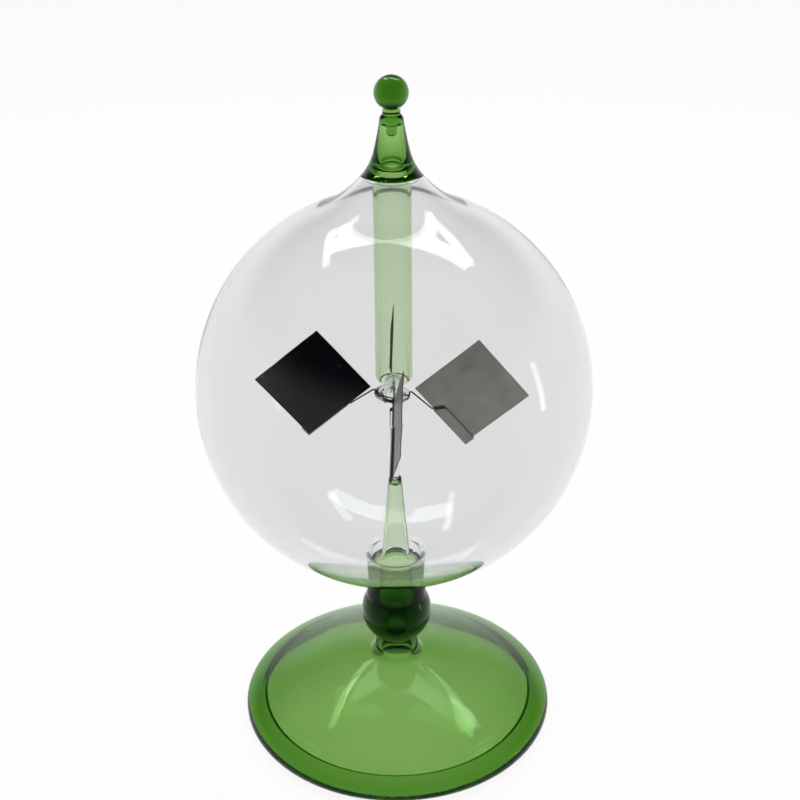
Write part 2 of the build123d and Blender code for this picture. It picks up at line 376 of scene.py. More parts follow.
NEEDLE_STEEL = Metal(
    "polished_needle_steel",
    colour="#8E8F8C",
    stain="#63635F",
    roughness=0.22,
    grain_mm=1.5,
    grain_depth_mm=0.004,
)
WIRE_STEEL = Metal(
    "oxidised_steel_wire",
    colour="#4A4845",
    stain="#2A2927",
    roughness=0.4,
    grain_mm=0.8,
    grain_depth_mm=0.01,
)
VANE_FOIL = Metal(
    "rolled_aluminium_foil",
    colour="#97948F",
    stain="#7D7A75",
    roughness=0.42,
    grain_mm=5.0,
    grain_depth_mm=0.12,
)
SOOT = LampBlack()


# Outlines


def rotated(vector: Point, angle: float) -> Point:
    """A vector turned by an angle in radians."""
    cosine, sine = math.cos(angle), math.sin(angle)
    return (vector[0] * cosine - vector[1] * sine, vector[0] * sine + vector[1] * cosine)


class Outline:
    """Half section of a turned piece, drawn as a pen would, by radius and height."""

    def __init__(
        self, radius: float, height: float, step: float = 0.9, step_angle: float = 7.0
    ) -> None:
        """Sets the pen down.

        Args:
            radius: Distance from the axis.
            height: Height above the floor.
            step: Longest chord on a curve.
            step_angle: Largest turn from chord to chord, in degrees.
        """
        self.points: list[Point] = [(radius, height)]
        self.heading: Point = (0.0, 1.0)
        self.step = step
        self.step_angle = math.radians(step_angle)

    def head(self, outward: float, upward: float) -> "Outline":
        """Turns the pen without moving it."""
        length = math.hypot(outward, upward)
        self.heading = (outward / length, upward / length)
        return self

    def line(self, radius: float, height: float) -> "Outline":
        """Draws straight to a point."""
        radius_0, height_0 = self.points[-1]
        self.head(radius - radius_0, height - height_0)
        self.points.append((radius, height))
        return self

    def bend(self, radius: float, height: float) -> "Outline":
        """Draws the circular arc that leaves along the pen's heading and ends at a point."""
        radius_0, height_0 = self.points[-1]
        chord = (radius - radius_0, height - height_0)
        across = self.heading[0] * chord[1] - self.heading[1] * chord[0]
        along = self.heading[0] * chord[0] + self.heading[1] * chord[1]
        turn = 2 * math.atan2(across, along)
        if abs(turn) < STRAIGHT:
            return self.line(radius, height)
        curve = (chord[0] ** 2 + chord[1] ** 2) / (2 * across)
        centre = (radius_0 - self.heading[1] * curve, height_0 + self.heading[0] * curve)
        wanted = max(abs(turn * curve) / self.step, abs(turn) / self.step_angle)
        steps = max(2, math.ceil(min(wanted, abs(turn) / FINEST_TURN)))
        arm = (radius_0 - centre[0], height_0 - centre[1])
        for index in range(1, steps + 1):
            out, rise = rotated(arm, turn * index / steps)
            self.points.append((centre[0] + out, centre[1] + rise))
        self.points[-1] = (radius, height)
        return self.head(*rotated(self.heading, turn))

    def bend_into(self, radius: float, height: float, outward: float, upward: float) -> "Outline":
        """Draws the circular arc that ends at a point with a given heading."""
        back = Outline(radius, height, self.step, math.degrees(self.step_angle))
        back.head(-outward, -upward).bend(*self.points[-1])
        self.points += back.points[-2::-1]
        return self.head(outward, upward)

    def bulge(self, radius: float, height: float, proud: float) -> "Outline":
        """Draws an arc to a point, bowed to the right of its chord by a distance."""
        radius_0, height_0 = self.points[-1]
        chord = (radius - radius_0, height - height_0)
        lean = 2 * math.atan2(2 * proud, math.hypot(*chord))
        return self.head(*rotated(chord, -lean)).bend(radius, height)

    def ellipse(
        self, centre: float, radius: float, half_height: float, start: float, end: float
    ) -> "Outline":
        """Draws up the side of an ellipse that is centred on the axis.

        Args:
            centre: Height of the centre.
            radius: Half width.
            half_height: Half height.
            start: Distance from the axis at the lower end.
            end: Distance from the axis at the upper end.

        Returns:
            The same outline.
        """
        low = -math.acos(start / radius)
        high = math.acos(end / radius)
        steps = math.ceil((high - low) / ELLIPSE_TURN)
        for index in range(steps + 1):
            angle = low + (high - low) * index / steps
            point = (radius * math.cos(angle), centre + half_height * math.sin(angle))
            if math.dist(point, self.points[-1]) > SAME_POINT / MM:
                self.points.append(point)
        return self.head(-radius * math.sin(high), half_height * math.cos(high))

    def back_along(self, other: "Outline") -> "Outline":
        """Adds another outline's points from its end to its start."""
        self.points += other.points[::-1]
        return self


# Meshes


def clear_selection() -> None:
    """Deselects every object."""
    if bpy.context.object is not None and bpy.context.object.mode != "OBJECT":
        bpy.ops.object.mode_set(mode="OBJECT")
    bpy.ops.object.select_all(action="DESELECT")


def activate(piece: Piece) -> None:
    """Selects one piece alone and makes it the active one."""
    clear_selection()
    piece.select_set(True)
    bpy.context.view_layer.objects.active = piece


def edit_all(piece: Piece) -> None:
    """Opens one piece in edit mode with all of it selected."""
    activate(piece)
    bpy.ops.object.mode_set(mode="EDIT")
    bpy.ops.mesh.select_all(action="SELECT")


def apply_modifier(piece: Piece, name: str, kind: str, **settings: object) -> None:
    """Adds a modifier with its settings and applies it."""
    activate(piece)
    modifier = piece.modifiers.new(name, kind)
    for key, value in settings.items():
        setattr(modifier, key, value)
    bpy.ops.object.modifier_apply(modifier=modifier.name)


def displace(piece: Piece, size: float, octaves: int, **settings: object) -> None:
    """Moves a piece's skin by a cloud pattern with features of about this size."""
    texture = bpy.data.textures.new(f"{piece.name}_clouds", "CLOUDS")
    texture.noise_scale = size * MM
    texture.noise_depth = octaves
    apply_modifier(piece, "clouds", "DISPLACE", texture=texture, texture_coords="LOCAL", **settings)
    bpy.data.textures.remove(texture)


def spin_up(name: str, points: list[Point], steps: int) -> Piece:
    """Draws an outline with one vertex and spins it about the vertical axis.

    Args:
        name: Name of the new piece.
        points: Radius and height of each corner.
        steps: Sides of the full turn.

    Returns:
        The closed piece.
    """
    clear_selection()
    bpy.ops.mesh.primitive_plane_add(size=MM, location=(points[0][0] * MM, 0, points[0][1] * MM))
    piece = bpy.context.object
    bpy.ops.object.transform_apply(location=True, rotation=True, scale=True)
    bpy.ops.object.mode_set(mode="EDIT")
    bpy.ops.mesh.merge(type="CENTER")
    for before, after in zip(points, points[1:]):
        move = ((after[0] - before[0]) * MM, 0, (after[1] - before[1]) * MM)
        bpy.ops.mesh.extrude_region_move(TRANSFORM_OT_translate={"value": move})
    bpy.ops.mesh.select_all(action="SELECT")
    bpy.ops.mesh.spin(steps=steps, angle=math.tau, center=(0, 0, 0), axis=AXIS_Z)
    bpy.ops.mesh.select_all(action="SELECT")
    bpy.ops.mesh.remove_doubles(threshold=SAME_POINT)
    bpy.ops.mesh.normals_make_consistent(inside=False)
    bpy.ops.object.mode_set(mode="OBJECT")
    piece.name = piece.data.name = name
    return piece


def join_air_space(piece: Piece, space: Piece) -> None:
    """Joins a closed inner surface to a piece, with its faces turned towards the air inside."""
    edit_all(space)
    bpy.ops.mesh.flip_normals()
    bpy.ops.object.mode_set(mode="OBJECT")
    piece.select_set(True)
    bpy.context.view_layer.objects.active = piece
    bpy.ops.object.join()


def soften(piece: Piece, width: float) -> None:
    """Rounds a piece's sharp corners as a flame does."""
    apply_modifier(
        piece,
        "fire_polish",
        "BEVEL",
        width=width * MM,
        segments=POLISH_SEGMENTS,
        limit_method="ANGLE",
        angle_limit=POLISH_ANGLE,
    )


def make_wavy(piece: Piece, depth: float, size: float) -> None:
    """Pushes a piece's skin in by a slow pattern of waves, as hand-blown glass has."""
    displace(piece, size, 1, mid_level=1.0, strength=depth * MM)


def smooth(piece: Piece, angle: float = 35.0) -> None:
    """Shades a piece smooth, with edges sharper than an angle left crisp."""
    activate(piece)
    bpy.ops.object.shade_smooth_by_angle(angle=math.radians(angle))


@dataclass(frozen=True)
class Surface:
    """Sides of a turned piece, how far a flame has rounded its corners, and its waves."""

    sides: int
    polish: float = 0.0
    wave_depth: float = 0.0
    wave_size: float = 0.0

    def turn(self, name: str, line: Outline, *spaces: Piece) -> Piece:
        """Spins an outline, joins its air spaces and gives it this surface."""
        piece = spin_up(name, line.points, self.sides)
        if self.polish:
            soften(piece, self.polish)
        for space in spaces:
            join_air_space(piece, space)
        if self.wave_depth:
            make_wavy(piece, self.wave_depth, self.wave_size)
        smooth(piece)
        return piece


def finish_piece(
    piece: Piece, material: Material, body: Body, nodes: tuple[str, ...]
) -> None:
    """Gives a piece its material and its body, and hides the nodes that it stands for."""
    piece.data.materials.clear()
    piece.data.materials.append(material)
    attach(piece, body.value)
    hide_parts(*nodes)
    faces = len(piece.data.polygons)
    LOG.info("%s: %d faces, rides %s, for %s", piece.name, faces, body.value, ", ".join(nodes))


def reach(node: str) -> tuple[float, float, float]:
    """Radius, lowest and highest point of a node that is turned about the axis."""
    low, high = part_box(node)
    return (high.x / MM, low.z / MM, high.z / MM)


# Stand


@dataclass
class GreenBase:
    """Foot, collar, knop, neck tube and seal ring: one run of green glass with air inside."""

    green: Material
    edge_radius: float = 2.9
    edge_wrap: float = 62.0
    ring_width: float = 2.6
    push_up: float = 12.5
    push_radius: float = 13.0
    push_slope: float = 0.12
    wall: float = 1.8
    cavity_radius: float = 43.2
    cavity_end_height: float = 5.1
    cavity_end: float = 0.9
    roof_slope: float = 0.25
    throat_spread: float = 2.4
    throat_drop: float = 2.8
    chimney_radius: float = 4.4
    chimney_height: float = 21.4
    chimney_spread: float = 3.2
    chimney_drop: float = 2.3
    throat_height: float = 24.0
    collar_radius: float = 7.2
    collar_neck: float = 6.1
    collar_top: float = 28.26
    bubble_radius: float = 2.5
    bubble_height: float = 34.4
    neck_wall: float = 2.0
    bowl_depth: float = 5.5
    bowl_steps: int = 16
    seal_width: float = 3.6
    joint_gap: float = 0.02
    surface: Surface = Surface(192, 0.35, 0.12, 22.0)
    air_sides: int = 144
    bubble_sides: int = 48
    bubble_step: float = 0.4

    def skin(self) -> Outline:
        """Outer surface, from the pushed-up bottom to the bowl in the knop's top."""
        foot_radius = reach("foot")[0]
        knop_radius, _, knop_top = reach("knop")
        neck_radius, _, neck_top = reach("neck_tube")
        seal_low = neck_top - SEAL_DROP
        seal_top = reach("bottom_seal")[2] - SEAL_DROP
        edge = foot_radius - self.edge_radius
        wrap = math.radians(self.edge_wrap)
        collar = self.collar_radius
        neck_in = neck_radius - self.neck_wall
        seal_in = neck_radius - self.seal_width
        line = Outline(0, self.push_up).line(self.push_radius, self.push_up)
        line.head(1, -self.push_slope).bend(edge - self.ring_width, 0).line(edge, 0)
        line.bend(edge + self.edge_radius * math.cos(wrap), self.edge_radius * (1 + math.sin(wrap)))
        line.bend(collar + self.throat_spread, self.throat_height - self.throat_drop)
        line.bend(collar, self.throat_height).head(0, 1).bend(self.collar_neck, self.collar_top)
        knop_drop = math.sqrt(knop_radius**2 - self.collar_neck**2)
        line.head(knop_drop, self.collar_neck).bend(neck_radius, knop_top)
        line.line(neck_radius, seal_top - self.joint_gap)
        line.line(seal_in, seal_top - self.joint_gap).line(seal_in, seal_low)
        line.line(neck_in, seal_low).line(neck_in, knop_top)
        for index in range(1, self.bowl_steps + 1):
            angle = math.pi / 2 * index / self.bowl_steps
            line.line(neck_in * math.cos(angle), knop_top - self.bowl_depth * math.sin(angle))
        return line

    def air_space(self) -> Outline:
        """Surface of the air space inside the foot and up into the collar."""
        floor = self.push_up + self.wall
        low = self.cavity_end_height - self.cavity_end
        high = self.cavity_end_height + self.cavity_end
        line = Outline(0, floor).line(self.push_radius, floor)
        line.head(1, -self.push_slope).bend(self.cavity_radius, low)
        line.head(1, 0).bend(self.cavity_radius, high)
        roof_in = self.chimney_radius + self.chimney_spread
        roof_height = self.chimney_height - self.chimney_drop
        line.bend_into(roof_in, roof_height, -1, self.roof_slope)
        line.bend(self.chimney_radius, self.chimney_height)
        return line.head(0, 1).bend(0, self.chimney_height + self.chimney_radius)

    def bubble(self) -> Outline:
        """Surface of the air bubble in the knop."""
        line = Outline(0, self.bubble_height - self.bubble_radius, step=self.bubble_step)
        return line.head(1, 0).bend(0, self.bubble_height + self.bubble_radius)

    def build(self) -> None:
        """Builds and dresses the piece."""
        space = spin_up("green_base_air", self.air_space().points, self.air_sides)
        bubble = spin_up("green_base_bubble", self.bubble().points, self.bubble_sides)
        piece = self.surface.turn("green_base", self.skin(), space, bubble)
        nodes = ("foot", "foot_collar", "knop", "neck_tube", "bottom_seal")
        finish_piece(piece, self.green, Body.STAND, nodes)


@dataclass
class NeedleStem:
    """Drawn green stem, the clear tube on top of it and the needle in that tube."""

    pale: Material
    clear: Material
    steel: Material
    foot_radius: float = 7.4
    flare_height: float = 3.2
    root_radius: float = 4.6
    top_radius: float = 2.0
    wall: float = 0.9
    foot_wall: float = 1.4
    cap: float = 2.6
    joint_gap: float = 0.02
    bore_clearance: float = 0.05
    point_length: float = 2.2
    tip_radius: float = 0.04
    stem_surface: Surface = Surface(96, 0.4, 0.08, 9.0)
    tube_surface: Surface = Surface(64, 0.15)
    needle_surface: Surface = Surface(32)

    def stem(self) -> Outline:
        """Outline of the stem, from the top of its bore round to its closed top."""
        _, low, high = reach("stem_tube")
        low -= SEAL_DROP
        knee = low + self.flare_height
        taper = (self.root_radius - self.top_radius) / (high - knee)
        bore_high = high - self.cap
        line = Outline(0, bore_high).line(self.top_radius + taper * self.cap - self.wall, bore_high)
        line.line(self.root_radius - self.wall, knee)
        line.head(taper, -1).bend(self.foot_radius - self.foot_wall, low)
        line.line(self.foot_radius, low).bend_into(self.root_radius, knee, -taper, 1)
        return line.line(self.top_radius, high).line(0, high)

    def build(self) -> None:
        """Builds and dresses the three pieces."""
        stem = self.stem_surface.turn("stem", self.stem())
        finish_piece(stem, self.pale, Body.STAND, ("stem_tube",))

        radius, low, high = reach("needle_holder")
        needle_radius, needle_low, needle_tip = reach("needle")
        bore = needle_radius + self.bore_clearance
        low += self.joint_gap
        tube = Outline(0, low).line(radius, low).line(radius, high).line(bore, high)
        tube.line(bore, needle_low).line(0, needle_low)
        holder = self.tube_surface.turn("needle_tube", tube)
        finish_piece(holder, self.clear, Body.STAND, ("needle_holder",))

        shank_top = needle_tip - self.point_length
        shape = Outline(0, needle_low).line(needle_radius, needle_low)
        shape.line(needle_radius, shank_top - self.point_length)
        shape.bend(self.tip_radius, needle_tip).line(0, needle_tip)
        needle = self.needle_surface.turn("needle_point", shape)
        finish_piece(needle, self.steel, Body.STAND, ("needle",))


@dataclass
class Globe:
    """Clear blown globe, drawn in to its seal below and out to its mouth above."""

    clear: Material
    half_height: float = 61.2
    wall: float = 1.1
    lip_width: float = 1.5
    lip_height: float = 3.3
    shoulder_radius: float = 23.1
    mouth_radius: float = 8.5
    mouth_wall: float = 1.1
    funnel_spread: float = 2.0
    funnel_rise: float = 2.4
    surface: Surface = Surface(192, 0.6, 0.06, 45.0)

    def extent(self) -> tuple[float, float, float]:
        """Radius of the globe, and the heights of its lip below and its mouth above."""
        radius, low, high = reach("bulb")
        return (radius, low - SEAL_DROP, high + MOUTH_RISE)

    def centre(self) -> float:
        """Height of the globe's centre."""
        radius, low, _ = self.extent()
        neck = reach("neck_tube")[0]
        return low + self.lip_height + self.half_height * math.sqrt(1 - (neck / radius) ** 2)

    def outside(self) -> Outline:
        """Outer side from the lip to the mouth."""
        radius, low, high = self.extent()
        neck = reach("neck_tube")[0]
        line = Outline(neck - self.lip_width, low).line(neck, low).line(neck, low + self.lip_height)
        line.ellipse(self.centre(), radius, self.half_height, neck, self.shoulder_radius)
        return line.bend(self.mouth_radius, high)

    def inside(self) -> Outline:
        """Inner side from the lip's bore to the mouth."""
        radius, low, high = self.extent()
        bore = reach("neck_tube")[0] - self.lip_width
        inner = radius - self.wall
        inner_half = self.half_height - self.wall
        out = bore + self.funnel_spread
        funnel_top = self.centre() - inner_half * math.sqrt(1 - (out / inner) ** 2)
        line = Outline(bore, low).line(bore, funnel_top - self.funnel_rise).bend(out, funnel_top)
        line.ellipse(self.centre(), inner, inner_half, out, self.shoulder_radius)
        return line.bend(self.mouth_radius - self.mouth_wall, high)

    def build(self) -> None:
        """Builds and dresses the globe."""
        piece = self.surface.turn("globe", self.outside().back_along(self.inside()))
        finish_piece(piece, self.clear, Body.STAND, ("bulb",))


@dataclass
class Finial:
    """Seal ring, hollow cone and ball in one run of green glass, and the guard tube below."""

    green: Material
    pale: Material
    globe: Globe
    guard_wall: float = 1.1
    guard_lip: float = 0.45
    guard_radius: float = 5.6
    guard_flare: float = 1.4
    seal_thickness: float = 1.7
    knee_radius: float = 5.3
    knee_rise: float = 6.65
    throat_radius: float = 3.5
    throat_length: float = 9.0
    shoulder_height: float = 1.8
    shoulder_bulge: float = 0.25
    waist_radius: float = 2.6
    cone_cap: float = 4.8
    bore_radius: float = 2.1
    bore_root_radius: float = 3.1
    bore_root_rise: float = 1.5
    drop_radius: float = 1.6
    drop_length: float = 3.5
    joint_gap: float = 0.02
    surface: Surface = Surface(128, 0.25, 0.08, 9.0)
    guard_surface: Surface = Surface(96, 0.0, 0.06, 14.0)

    def outline(self) -> Outline:
        """Outline from the drop in the cone, down its bore, and up outside to the ball's top."""
        seal_low = reach("top_seal")[1] + MOUTH_RISE
        seal_top = seal_low + self.seal_thickness
        _, _, cone_top = reach("finial_cone")
        ball_radius, _, ball_top = reach("finial_ball")
        tube_radius = self.tube_radius()
        bore_top = cone_top - self.cone_cap
        drop_centre = bore_top - self.drop_length + self.drop_radius
        low = seal_low + self.joint_gap
        knee = seal_low + self.knee_rise
        shoulder = knee + self.throat_length
        line = Outline(0, drop_centre - self.drop_radius)
        line.head(1, 0).bend(self.drop_radius, drop_centre)
        line.line(self.drop_radius, bore_top).line(self.bore_radius, bore_top)
        line.line(self.bore_root_radius, seal_top + self.bore_root_rise)
        line.bend(tube_radius, seal_top).line(tube_radius, low)
        line.line(self.globe.mouth_radius, low).head(*self.globe.outside().heading)
        line.bend(self.knee_radius, knee).bend(self.throat_radius, shoulder)
        line.bulge(self.waist_radius, shoulder + self.shoulder_height, self.shoulder_bulge)
        line.line(self.waist_radius, cone_top)
        ball_drop = math.sqrt(ball_radius**2 - self.waist_radius**2)
        return line.head(ball_drop, self.waist_radius).bend(0, ball_top)

    def tube_radius(self) -> float:
        """Bore of the guard tube, which runs on through the seal."""
        return self.guard_radius - self.guard_wall

    def guard(self) -> Outline:
        """Outline of the guard tube, from its mouth up inside and down outside."""
        _, low, high = reach("guard_tube")
        high += MOUTH_RISE
        radius = self.guard_radius
        flared = radius + self.guard_flare
        bore = self.tube_radius()
        rise = low + self.guard_lip + self.guard_wall
        line = Outline(bore - self.guard_lip, low).bend_into(bore, rise, 0, 1).line(bore, high)
        line.line(flared, high).head(-1, 0).bend(radius, high - self.guard_flare)
        line.line(radius, rise).bend(radius - 2 * self.guard_lip, low)
        return line.line(bore - self.guard_lip, low)

    def build(self) -> None:
        """Builds and dresses both pieces."""
        top = self.surface.turn("finial", self.outline())
        nodes = ("top_seal", "finial_cone", "finial_ball")
        finish_piece(top, self.green, Body.STAND, nodes)
        tube = self.guard_surface.turn("guard", self.guard())
        finish_piece(tube, self.pale, Body.STAND, ("guard_tube",))


# Rotor


@dataclass
class Rotor:
    """Glass cup on the needle point, four hooked wires and the four vanes that they carry."""

    clear: Material
    wire: Material
    foil: Material
    soot: Material
    nodes: dict[str, Piece]
    count: int = 4
    lean: float = 5.7
    turn: float = 2.0
    dome_radius: float = 2.65
    cup_wall: float = 0.85
    depth: float = 7.0
    running_gap: float = 0.15
    brim_radius: float = 5.5
    brim: float = 0.9
    flare: float = 1.9
    mouth_flare: float = 0.6
    vane_side: float = 25.0
    vane_thickness: float = 0.2
    gap_to_brim: float = 1.22
    rise_over_brim: float = 2.15
    hem_width: float = 3.0
    hem_start: float = 9.4
    hem_slant: float = 1.8
    hem_overhang: float = 0.4
    coat: float = 0.08
    coat_margin: float = 0.05
    wire_radius: float = 0.24
    wire_clearance: float = 0.03
    cup_sides: int = 96
    cup_step: float = 0.3
    cup_polish: float = 0.12
    grid_steps: int = 50
    roll_steps: int = 8
    flap_rows: int = 5
    crisp_angle: float = 50.0
    crease_size: float = 6.0
    crease_depth: float = 0.8
    crease_start: float = 0.2
    crease_gain: float = 2.5
    edge_share: float = 0.4
    edge_gain: float = 4.0

    def tip(self) -> float:
        """Height of the needle's point."""
        return reach("needle")[2]

    def brim_height(self) -> float:
        """Middle of the brim, with the rotor upright."""
        return self.tip() + self.running_gap + self.cup_wall - self.depth

    def place(self, piece: Piece, index: int = 0) -> None:
        """Turns a piece to its arm and leans it about the needle's point, in its mesh."""
        tip = Matrix.Translation((0, 0, self.tip() * MM))
        lean = Matrix.Rotation(math.radians(self.lean), 4, "Y")
        turn = Matrix.Rotation(math.radians(self.turn + index * 360 / self.count), 4, "Z")
        piece.data.transform(tip @ lean @ tip.inverted() @ turn)

    def cup(self) -> Outline:
        """Outline of the cup, from inside its dome round the brim to the top."""
        bore = self.dome_radius - self.cup_wall
        dome = self.tip() + self.running_gap - bore
        low = self.brim_height() - self.brim / 2
        high = low + self.brim
        line = Outline(0, dome + bore, step=self.cup_step).head(1, 0).bend(bore, dome)
        line.line(bore, high).line(bore + self.mouth_flare, low)
        line.line(self.brim_radius, low).line(self.brim_radius, high)
        line.line(self.dome_radius + self.flare, high)
        line.head(-1, 0).bend(self.dome_radius, high + self.flare)
        return line.line(self.dome_radius, dome).bend(0, dome + self.dome_radius)

    def on_vane(self, along: float, inward: float) -> Point:
        """Distance out and height of a place on the vane, from its lowest inner edge."""
        out = self.brim_radius + self.gap_to_brim + (along + inward) / math.sqrt(2)
        high = self.brim_height() + self.rise_over_brim + (inward - along) / math.sqrt(2)
        return (out, high)

    def vane_matrix(self) -> Matrix:
        """Takes a vane drawn flat (along the hem, across, off the sheet) to its arm."""
        out, high = self.on_vane(0, 0)
        half = 1 / math.sqrt(2)
        rows = ((half, half, 0, out * MM), (0, 0, 1, 0), (-half, half, 0, high * MM), (0, 0, 0, 1))
        return Matrix(rows)

    def flat_sheet(self, name: str, margin: float) -> Piece:
        """Square grid in the sheet's middle plane.

        Args:
            name: Name of the piece.
            margin: Distance that the grid stays inside the vane's edges.

        Returns:
            The grid, drawn flat.
        """
        clear_selection()
        side = self.vane_side - 2 * margin
        middle = self.vane_side / 2 * MM
        bpy.ops.mesh.primitive_grid_add(
            x_subdivisions=self.grid_steps,
            y_subdivisions=self.grid_steps,
            size=side * MM,
            location=(middle, middle, self.sheet_offset() * MM),
        )
        piece = bpy.context.object
        bpy.ops.object.transform_apply(location=True, rotation=True, scale=True)
        piece.name = piece.data.name = name
        return piece

    def sheet_offset(self) -> float:
        """Distance from the wire's middle to the sheet's middle plane."""
        return self.wire_radius + self.wire_clearance + self.vane_thickness / 2

    def crease(self, piece: Piece) -> None:
        """Dents a sheet by slow waves that fade out towards the hem."""
        group = piece.vertex_groups.new(name="free")
        side = self.vane_side * MM
        for vertex in piece.data.vertices:
            across = vertex.co.y / side
            edge = min(vertex.co.x, side - vertex.co.x) / side
            free = max(0.0, min(1.0, (across - self.crease_start) * self.crease_gain))
            share = min(1.0, self.edge_share + edge * self.edge_gain)
            group.add([vertex.index], free * share, "REPLACE")
        strength = self.crease_depth * MM
        choice = {"direction": "Z", "vertex_group": group.name}
        displace(piece, self.crease_size, 2, strength=strength, **choice)
        piece.vertex_groups.clear()

    def select_verts(self, piece: Piece, wanted: Callable[[Vector], bool]) -> None:
        """Selects, in edit mode, the vertices that lie where wanted says."""
        bpy.ops.object.mode_set(mode="EDIT")
        bpy.ops.mesh.select_mode(type="VERT")
        bpy.ops.mesh.select_all(action="DESELECT")
        bpy.ops.object.mode_set(mode="OBJECT")
        for vertex in piece.data.vertices:
            vertex.select = wanted(vertex.co / MM)
        bpy.ops.object.mode_set(mode="EDIT")

    def fold_hem(self, piece: Piece) -> None:
        """Pulls out a tab at the sheet's outer end, rolls its edge over and lays the flap."""
        side = self.vane_side
        slack = 0.01
        self.select_verts(piece, lambda at: at.x > side - slack and at.y < self.hem_width + slack)
        overhang = (self.hem_overhang * MM, 0, 0)
        bpy.ops.mesh.extrude_region_move(TRANSFORM_OT_translate={"value": overhang})
        self.select_verts(piece, lambda at: at.y < slack and at.x > self.hem_start - slack)
        bpy.ops.mesh.extrude_region_move(TRANSFORM_OT_translate={"value": (0, 0, 0)})
        bpy.ops.mesh.spin(steps=self.roll_steps, angle=-math.pi, center=(0, 0, 0), axis=(1, 0, 0))
        end = side + self.hem_overhang
        rows = self.flap_rows
        for row in range(rows):
            length = end - self.hem_start - self.hem_slant * row / rows
            shorter = end - self.hem_start - self.hem_slant * (row + 1) / rows
            onward = (0, self.hem_width / rows * MM, 0)
            bpy.ops.mesh.extrude_region_move(TRANSFORM_OT_translate={"value": onward})
            share = (shorter / length, 1, 1)
            pivot = (end * MM, 0, 0)
            bpy.ops.transform.resize(value=share, center_override=pivot, orient_type="GLOBAL")
        bpy.ops.mesh.select_all(action="SELECT")
        bpy.ops.mesh.remove_doubles(threshold=SAME_POINT)
        bpy.ops.object.mode_set(mode="OBJECT")

    def vane(self) -> Piece:
        """One sheet with its hem, drawn flat, with its thickness about its middle plane."""
        piece = self.flat_sheet("vane", 0)
        self.crease(piece)
        self.fold_hem(piece)
        thickness = self.vane_thickness * MM
        apply_modifier(piece, "thickness", "SOLIDIFY", thickness=thickness, offset=0)
        return piece

    def blacking(self) -> Piece:
        """The coat on one sheet, drawn flat, with its thickness on the sheet's upper side."""
        piece = self.flat_sheet("coat", self.coat_margin)
        self.crease(piece)
        edit_all(piece)
        bpy.ops.transform.translate(value=(0, 0, self.vane_thickness / 2 * MM))
        bpy.ops.object.mode_set(mode="OBJECT")
        apply_modifier(piece, "thickness", "SOLIDIFY", thickness=self.coat * MM, offset=1)
        return piece

    def repeat(self, pattern: Piece) -> list[Piece]:
        """Copies a flat pattern piece to each arm and removes the pattern."""
        copies = []
        for index in range(self.count):
            mesh = pattern.data.copy()
            mesh.name = f"{pattern.name}_{index + 1}"
            copy = bpy.data.objects.new(mesh.name, mesh)
            bpy.context.scene.collection.objects.link(copy)
            mesh.transform(self.vane_matrix())
            self.place(copy, index)
            copies.append(copy)
        bpy.data.objects.remove(pattern)
        return copies

    def build(self) -> None:
        """Builds and dresses the rotor's pieces."""
        cup = spin_up("hub", self.cup().points, self.cup_sides)
        soften(cup, self.cup_polish)
        self.place(cup)
        smooth(cup)
        finish_piece(cup, self.clear, Body.ROTOR, ("hub_cup",))
        for pattern, node, material, slot in (
            (self.vane(), "vane_sheet", self.foil, Slot.VANE_METAL),
            (self.blacking(), "vane_blacking", self.soot, Slot.LAMP_BLACK),
        ):
            for index, copy in enumerate(self.repeat(pattern)):
                smooth(copy, self.crisp_angle)
                finish_piece(copy, material, Body.ROTOR, (f"{node}_{index + 1}",))
        for index in range(self.count):
            wire = self.nodes[f"arm_wire_{index + 1}"]
            wire.data.materials.clear()
            wire.data.materials.append(self.wire)
            LOG.info("%s: carried over", wire.name)


# Studio


@dataclass(frozen=True)
class Softbox:
    """Flat lamp that faces a point on the object, turned about that line by some degrees."""

    name: str
    centre: tuple[float, float, float]
    width: float
    height: float
    radiance: float
    turn: float = 0.0
    target: tuple[float, float, float] = (0.0, 0.0, 0.1)

    def build(self) -> None:
        """Adds the lamp, with the power that gives its face the stated radiance."""
        lamp = bpy.data.lights.new(self.name, "AREA")
        lamp.shape = "RECTANGLE"
        lamp.size = self.width
        lamp.size_y = self.height
        lamp.energy = self.radiance * math.pi * self.width * self.height
        holder = bpy.data.objects.new(self.name, lamp)
        bpy.context.scene.collection.objects.link(holder)
        holder.location = self.centre
        away = Vector(self.centre) - Vector(self.target)
        facing = away.to_track_quat("Z", "Y").to_matrix()
        turn = Matrix.Rotation(math.radians(self.turn), 3, "Z")
        holder.rotation_euler = (facing @ turn).to_euler()


LAMPS = (
    Softbox("overhead_strip", (0.06, 0.38, 1.0), width=1.1, height=0.20, radiance=9.0),
    Softbox(
        "ceiling_left_strip", (-0.48, 0.52, 1.0), width=0.07, height=0.60, radiance=7.0, turn=-56.0
    ),
    Softbox(
        "ceiling_right_strip", (0.50, 0.45, 1.0), width=0.10, height=0.40, radiance=7.0, turn=84.0
    ),
    Softbox("right_strip", (0.75, -0.05, 0.12), width=0.05, height=0.30, radiance=5.0),
)


